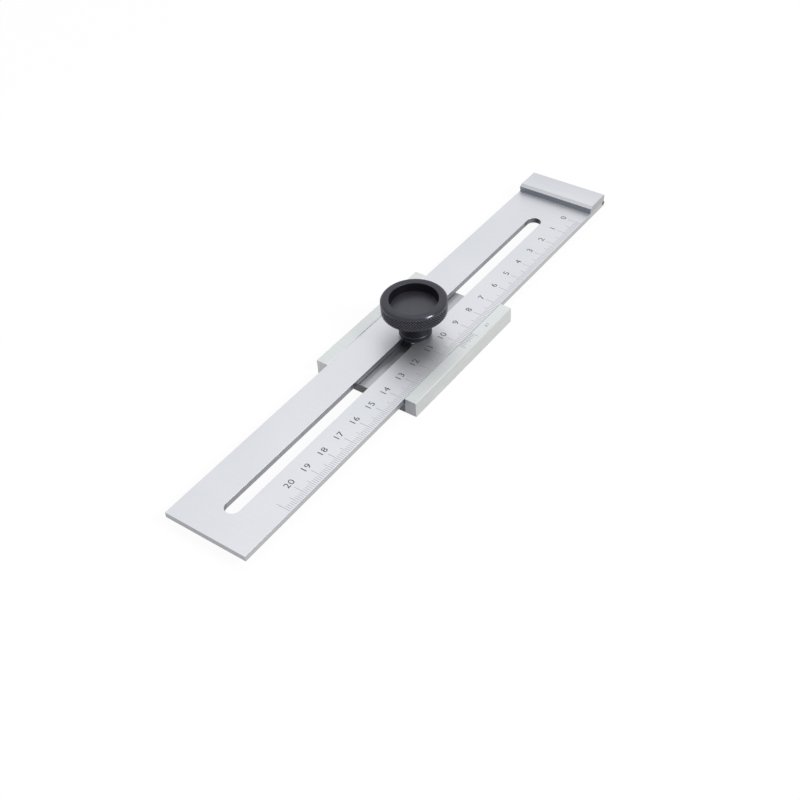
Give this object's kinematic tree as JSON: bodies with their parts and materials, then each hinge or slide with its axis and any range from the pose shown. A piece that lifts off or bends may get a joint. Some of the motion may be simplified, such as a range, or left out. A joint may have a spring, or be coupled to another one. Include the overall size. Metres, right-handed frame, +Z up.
{
  "type": "marking gauge",
  "caption": "Slide-type marking gauge: flat slotted steel rule with a raised head and scribing tip, and a channel slide clamped by a cupped knurled thumb screw.",
  "frame": {"origin": "middle of the overall box in X and Y, at the level of the slide's underside, which the gauge rests on", "axes": "+X along the rule towards the head, +Z up out of the rule's scale face, -Y is the side of the scale's edge"},
  "size_m": [0.258, 0.0492, 0.0256],
  "materials": {
    "satin_steel": "satin, fine brushed",
    "ground_steel": "fine ground",
    "screw_steel": "turned",
    "carbide": "ground dark",
    "blackened_steel": "blackened, satin",
    "black_anodised": "black anodised, semi-gloss"
  },
  "bodies": {
    "rule": {"scale_rule": "satin_steel", "marking_head": "ground_steel", "head_screw_left": "screw_steel", "head_screw_right": "screw_steel", "scribing_tip": "carbide"},
    "slide": {"slide_body": "satin_steel"},
    "washer": {"thrust_washer": "blackened_steel"},
    "knob": {"clamp_stud": "screw_steel", "knurled_knob": "black_anodised"}
  },
  "joints": [
    {"name": "slide_travel", "type": "slide", "parent": "rule", "child": "slide", "axis": [1, 0, 0], "range_m": [-0.1148, 0.095]},
    {"name": "screw_lift", "type": "slide", "parent": "slide", "child": "washer", "axis": [0, 0, 1], "range_m": [0, 0.0035]},
    {"name": "knob_turn", "type": "hinge", "parent": "washer", "child": "knob", "pos_m": [0.0012, 0, 0.01], "axis": [0, 0, 1], "range_deg": [0, 1260]}
  ],
  "couplings": [
    {"joint": "screw_lift", "follows": "knob_turn", "m_per_rad": 0.00015915}
  ]
}
